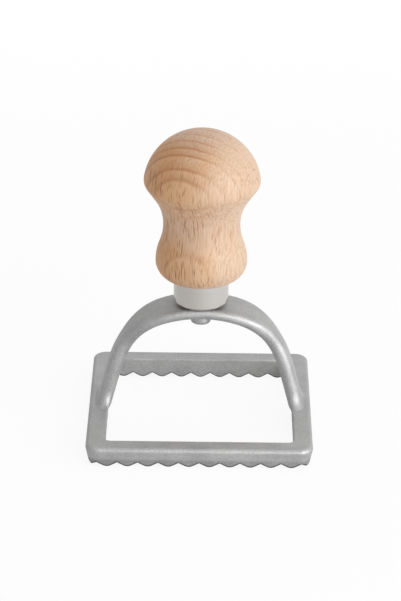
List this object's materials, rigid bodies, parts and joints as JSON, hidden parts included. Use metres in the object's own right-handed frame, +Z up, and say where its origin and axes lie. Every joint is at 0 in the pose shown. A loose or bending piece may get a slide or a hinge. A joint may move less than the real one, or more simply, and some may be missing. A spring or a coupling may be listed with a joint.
{
  "type": "ravioli stamp",
  "caption": "Square pasta stamp: a cast rim with a scalloped cutting edge, an arched bridge over it, a metal ferrule and a turned wooden knob to press with.",
  "frame": {"origin": "middle of the square cutter, in the plane of the tooth tips", "axes": "+Z up along the knob's axis, X along the bridge from foot to foot, Y through the arch"},
  "size_m": [0.07, 0.07, 0.0973],
  "materials": {
    "cast_aluminium": "satin cast and tumbled",
    "ferrule_metal": "polished",
    "beech": "sanded, unvarnished",
    "screw_metal": "zinc plated"
  },
  "bodies": {
    "root": {"cutter_frame": "cast_aluminium", "ferrule": "ferrule_metal", "knob": "beech", "screw": "screw_metal"}
  },
  "joints": []
}
